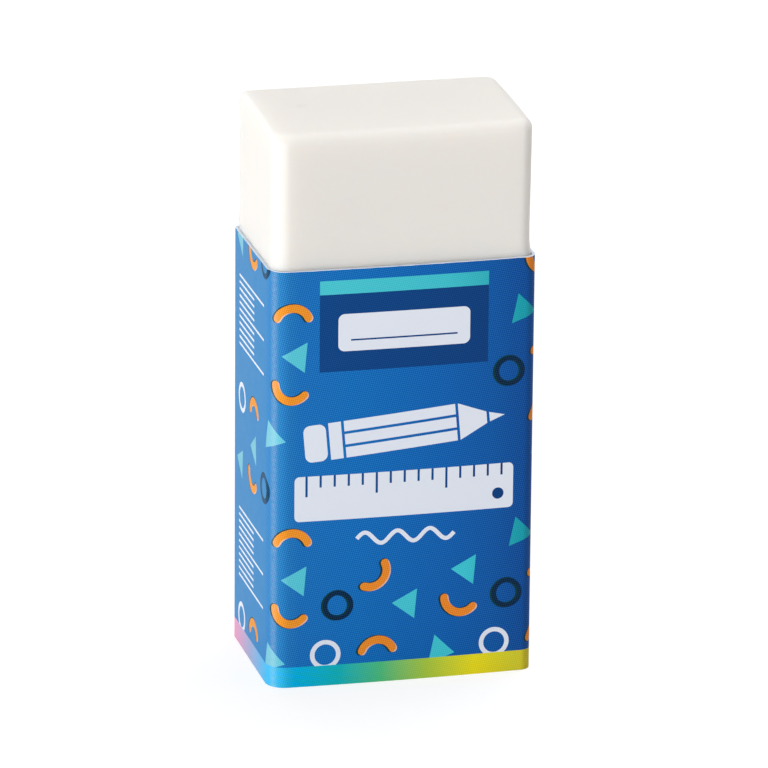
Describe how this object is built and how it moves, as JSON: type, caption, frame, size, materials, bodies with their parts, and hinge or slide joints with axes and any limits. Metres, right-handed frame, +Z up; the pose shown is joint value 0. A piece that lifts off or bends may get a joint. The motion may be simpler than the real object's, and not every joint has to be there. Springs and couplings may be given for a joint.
{
  "type": "rubber eraser",
  "caption": "Small white block eraser with rounded edges, standing on end in an open-ended printed card sleeve that slides along the block and off its top.",
  "frame": {"origin": "middle of the footprint, on the surface that the eraser stands on", "axes": "+Z up along the length of the block, X across its broad faces, broad front face towards -Y"},
  "size_m": [0.019, 0.0122, 0.0406],
  "materials": {
    "white_vinyl": "matt moulded vinyl, slightly waxy",
    "printed_card": "thin white card, printed in colour with a satin varnish"
  },
  "bodies": {
    "block": {"eraser_block": "white_vinyl"},
    "sleeve": {"card_sleeve": "printed_card"}
  },
  "joints": [
    {"name": "sleeve_slide", "type": "slide", "parent": "block", "child": "sleeve", "axis": [0, 0, 1], "range_m": [0, 0.042]}
  ]
}
